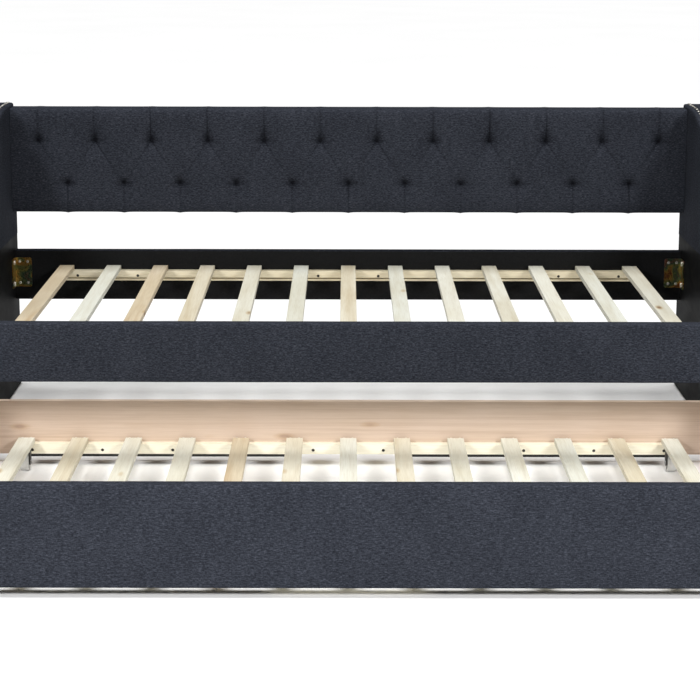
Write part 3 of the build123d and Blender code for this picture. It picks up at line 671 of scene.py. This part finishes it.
def tuft_depth_and_shade(x, z):
    """How far the tufting pulls the face in, and how much painted shade the cloth gets in its pleats, pits
    and the hollows above them (0 to 1).
    """
    depth = 0
    fold = 0
    for tx, tz in tufts:
        if abs(x - tx) > 90 * MM:
            continue
        across, up = x - tx, z - tz
        away = math.hypot(across, up)
        depth += pit_depth * math.exp(-((away / pit_radius) ** 1.2))
        depth += hollow_depth * math.exp(-((away / hollow_radius) ** 2))
        # painted shade: a dark pit, a soft shaded patch above it and faint wings to its sides
        fold = max(fold, 0.97 * math.exp(-((away / (8 * MM)) ** 2)))
        reach = (34 if tz > bottom_row + MM else 13) * MM if up > 0 else 9 * MM
        hollow = math.exp(-((across / (12 * MM)) ** 2) - (up / reach) ** 2)
        fold = max(fold, 0.62 * hollow)
        fold = max(fold, 0.4 * math.exp(-((across / (26 * MM)) ** 2) - (up / (6 * MM)) ** 2))
    crease = 0
    for a, b, start, end in pleats:
        if min(abs(x - a[0]), abs(x - b[0])) > tuft_pitch:
            continue
        away, along = to_segment(x, z, a, b)
        if away > 45 * MM:
            continue
        strength = start + (end - start) * along
        here = crease_depth * strength
        crease = max(crease, here * math.exp(-away / (4 * MM)))
        crease = max(crease, 0.5 * here * math.exp(-((away / (17 * MM)) ** 2)))
        # painted shade: a thin dark line along each pleat, fading along it
        fold = max(fold, 0.85 * strength ** 2 * math.exp(-((away / (1.9 * MM)) ** 2)))
    return depth + crease, fold


def make_back_panel():
    """The tufted back panel: foam under linen, buttoned in two staggered rows."""
    low, high = panel_low, panel_high
    piece = block("back_panel_linen", low, high)

    def lengthwise(edge):
        a, b = (piece.data.vertices[i].co for i in edge.vertices)
        return abs(a.x - b.x) > 0.5 * (high.x - low.x)

    round_edges(piece, 9 * MM, 4, lengthwise)
    cut_across(piece, X, tuft_grid)
    cut_across(piece, Z, tuft_grid)
    # painted shade of the pleats and pits, kept per point for the linen to darken by
    painted_fold_shade = piece.data.attributes.new("fold", "FLOAT", "POINT")
    for vertex in piece.data.vertices:
        place = vertex.co
        if place.y < low.y + front_depth:
            from_edge = edge_distance(place.z, low.z, high.z)
            near_edge = max(0, min(1, from_edge / (35 * MM)))
            share = 1 - (1 - near_edge) ** 2
            front_share = 1 - (place.y - low.y) / front_depth
            sink, fold = tuft_depth_and_shade(place.x, place.z)
            painted_fold_shade.data[vertex.index].value = fold
            sink *= 0.35 + 0.65 * share
            soft = 0.4 * MM * ripple(place, 16, 2.2)
            place.y += front_share * (3.5 * MM * (1 - share) - 3 * MM * share + sink + soft)
        if edge_distance(place.z, low.z, high.z) < edge_zone:
            at_top = place.z > (low.z + high.z) / 2
            row = top_tufts if at_top else bottom_tufts
            scallop = max(math.exp(-abs(place.x - x) / (9 * MM)) for x, _ in row)
            reach = 1 if place.y < low.y + 40 * MM else 0.3
            place.z += (1 if at_top else -1) * scallop * 2.6 * MM * reach
    lay_cloth(piece)
    smooth(piece, math.radians(60))
    return finish_piece(piece, "daybed", linen, ("back_panel_pad",))


make_back_panel()


def make_buttons():
    """Small domed linen buttons at the bottom of the pits, darkened all over with painted shade."""
    bpy.ops.object.select_all(action="DESELECT")
    bpy.ops.mesh.primitive_uv_sphere_add(segments=20, ring_count=10, radius=9 * MM)
    first = bpy.context.object
    for vertex in first.data.vertices:
        vertex.co.z *= 0.42
    copies = []
    for x, z in tufts:
        copy = first.copy()
        copy.data = first.data.copy()
        bpy.context.scene.collection.objects.link(copy)
        for vertex in copy.data.vertices:
            place = vertex.co
            vertex.co = Vector((
                x + place.x, panel_low.y + pit_depth + 4 * MM - place.z, z + place.y
            ))
        copies.append(copy)
    bpy.data.objects.remove(first)
    bpy.ops.object.select_all(action="DESELECT")
    for copy in copies:
        copy.select_set(True)
    bpy.context.view_layer.objects.active = copies[0]
    bpy.ops.object.join()
    piece = bpy.context.object
    piece.name = piece.data.name = "tuft_buttons"
    # painted shade: every button point gets 0.8, so the buttons read dark, as in the pits' shadow
    painted_fold_shade = piece.data.attributes.new("fold", "FLOAT", "POINT")
    for vertex in piece.data.vertices:
        painted_fold_shade.data[vertex.index].value = 0.8
    in_edit(piece, "FACE", lambda face: True, lambda: bpy.ops.mesh.normals_make_consistent(inside=False))
    lay_cloth(piece)
    smooth(piece, math.radians(60))
    return finish_piece(piece, "daybed", linen, ("back_panel_buttons",))


make_buttons()

# ---------------------------------------------------------------- finishes of the CAD nodes
pine_tones = [
    ((0.69, 0.68, 0.59), (0.6, 0.57, 0.46)),
    ((0.63, 0.55, 0.41), (0.48, 0.36, 0.22)),
    ((0.74, 0.74, 0.66), (0.65, 0.63, 0.54)),
    ((0.68, 0.69, 0.62), (0.61, 0.6, 0.51)),
    ((0.69, 0.65, 0.53), (0.58, 0.51, 0.37)),
]
deck_tones = (1, 3, 1, 4, 0, 3, 4, 3, 2, 0, 2, 3, 0)
trundle_tones = (0, 4, 2, 0, 1, 4, 2, 4, 0, 2, 3, 4, 0)
for deck, tones in (("deck", deck_tones), ("trundle", trundle_tones)):
    for number, tone in enumerate(tones, start=1):
        node = f"{deck}_slat_{number:02d}"
        pale, deep = pine_tones[tone]
        finish_material(
            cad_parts[node],
            make_wood(f"pine_{node}", Y, pale, deep, number + (20 if deck == "trundle" else 0)),
        )

node_finishes = {
    "arm_core_left": core_board, "arm_core_right": core_board,
    "arm_nailheads": pewter, "floor_glides": glide_plastic,
    "back_panel_board": frame_wood, "back_rail_board": frame_wood, "front_rail_board": frame_wood,
    "deck_ledger_rear": ledger_pine, "deck_ledger_front": ledger_pine,
    "corner_brackets": zinc, "frame_bolts": bright_nail, "deck_screws": deck_fixings,
    "trundle_front_board": frame_wood, "trundle_rear_board": tan_board,
    "trundle_end_board_left": tan_end, "trundle_end_board_right": tan_end,
    "trundle_ledger_rear": trundle_ledger_pine, "trundle_ledger_front": trundle_ledger_pine,
    "base_strips": black_steel, "caster_forks": black_steel, "caster_axles": bright_steel,
    "trundle_screws": trundle_fixings,
    "wheel_front_left": nylon, "wheel_front_right": nylon,
    "wheel_rear_left": nylon, "wheel_rear_right": nylon,
}
for node, material in node_finishes.items():
    finish_material(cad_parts[node], material)


# ---------------------------------------------------------------- studio
def make_floor():
    bpy.ops.object.select_all(action="DESELECT")
    bpy.ops.mesh.primitive_plane_add(size=120, location=(0, 30, 0))
    floor = bpy.context.object
    floor.name = "floor"
    material, tree, shader = new_material("floor_white")
    shade = noise_field(tree, (0.8, 0.8, 0.8), 2, 0.5)
    colours = ramp(tree, shade, "Fac", [(0.3, (0.95, 0.95, 0.95)), (0.7, (0.97, 0.97, 0.97))])
    wire(tree, colours, "Color", shader, "Base Color")
    shader.inputs["Roughness"].default_value = 0.9
    finish_material(floor, material)


def add_softbox(name, power, size, location, target):
    """A square soft light aimed at a point."""
    data = bpy.data.lights.new(name, "AREA")
    data.energy = power
    data.size = size
    lamp = bpy.data.objects.new(name, data)
    lamp.location = location
    lamp.rotation_euler = (Vector(location) - Vector(target)).to_track_quat("Z", "Y").to_euler()
    bpy.context.scene.collection.objects.link(lamp)


def add_overhead(name, strength, spread, lean):
    """A wide, even light from above, leaning a little to the front."""
    data = bpy.data.lights.new(name, "SUN")
    data.energy = strength
    data.angle = math.radians(spread)
    lamp = bpy.data.objects.new(name, data)
    lamp.rotation_euler = (math.radians(lean), 0, 0)
    bpy.context.scene.collection.objects.link(lamp)


make_floor()
for side, side_name in ((-1, "left"), (1, "right")):
    add_softbox(f"{side_name}_softbox", 140, 0.9, (side * 2.8, -4.0, 2.5), (0, 0.2, 0.4))
add_overhead("overhead_softbox", 3.3, 38, 1)
world = bpy.data.worlds.new("studio")
world.use_nodes = True
world.node_tree.nodes["Background"].inputs["Color"].default_value = (1, 1, 1, 1)
world.node_tree.nodes["Background"].inputs["Strength"].default_value = 0.04
bpy.context.scene.world = world
bpy.context.scene.view_settings.view_transform = "Standard"

camera_data = bpy.data.cameras.new("camera")
camera = bpy.data.objects.new("camera", camera_data)
bpy.context.scene.collection.objects.link(camera)
tilt, roll, turn = (math.radians(angle) for angle in (12.216, 0.13, 0.10))
camera_data.sensor_width = 36
camera_data.lens = 103.72
camera_data.clip_end = 300
camera.location = (-0.0072, -4.9005, 1.3732)
camera.rotation_euler = (math.pi / 2 - tilt, -roll, -turn)
bpy.context.scene.camera = camera
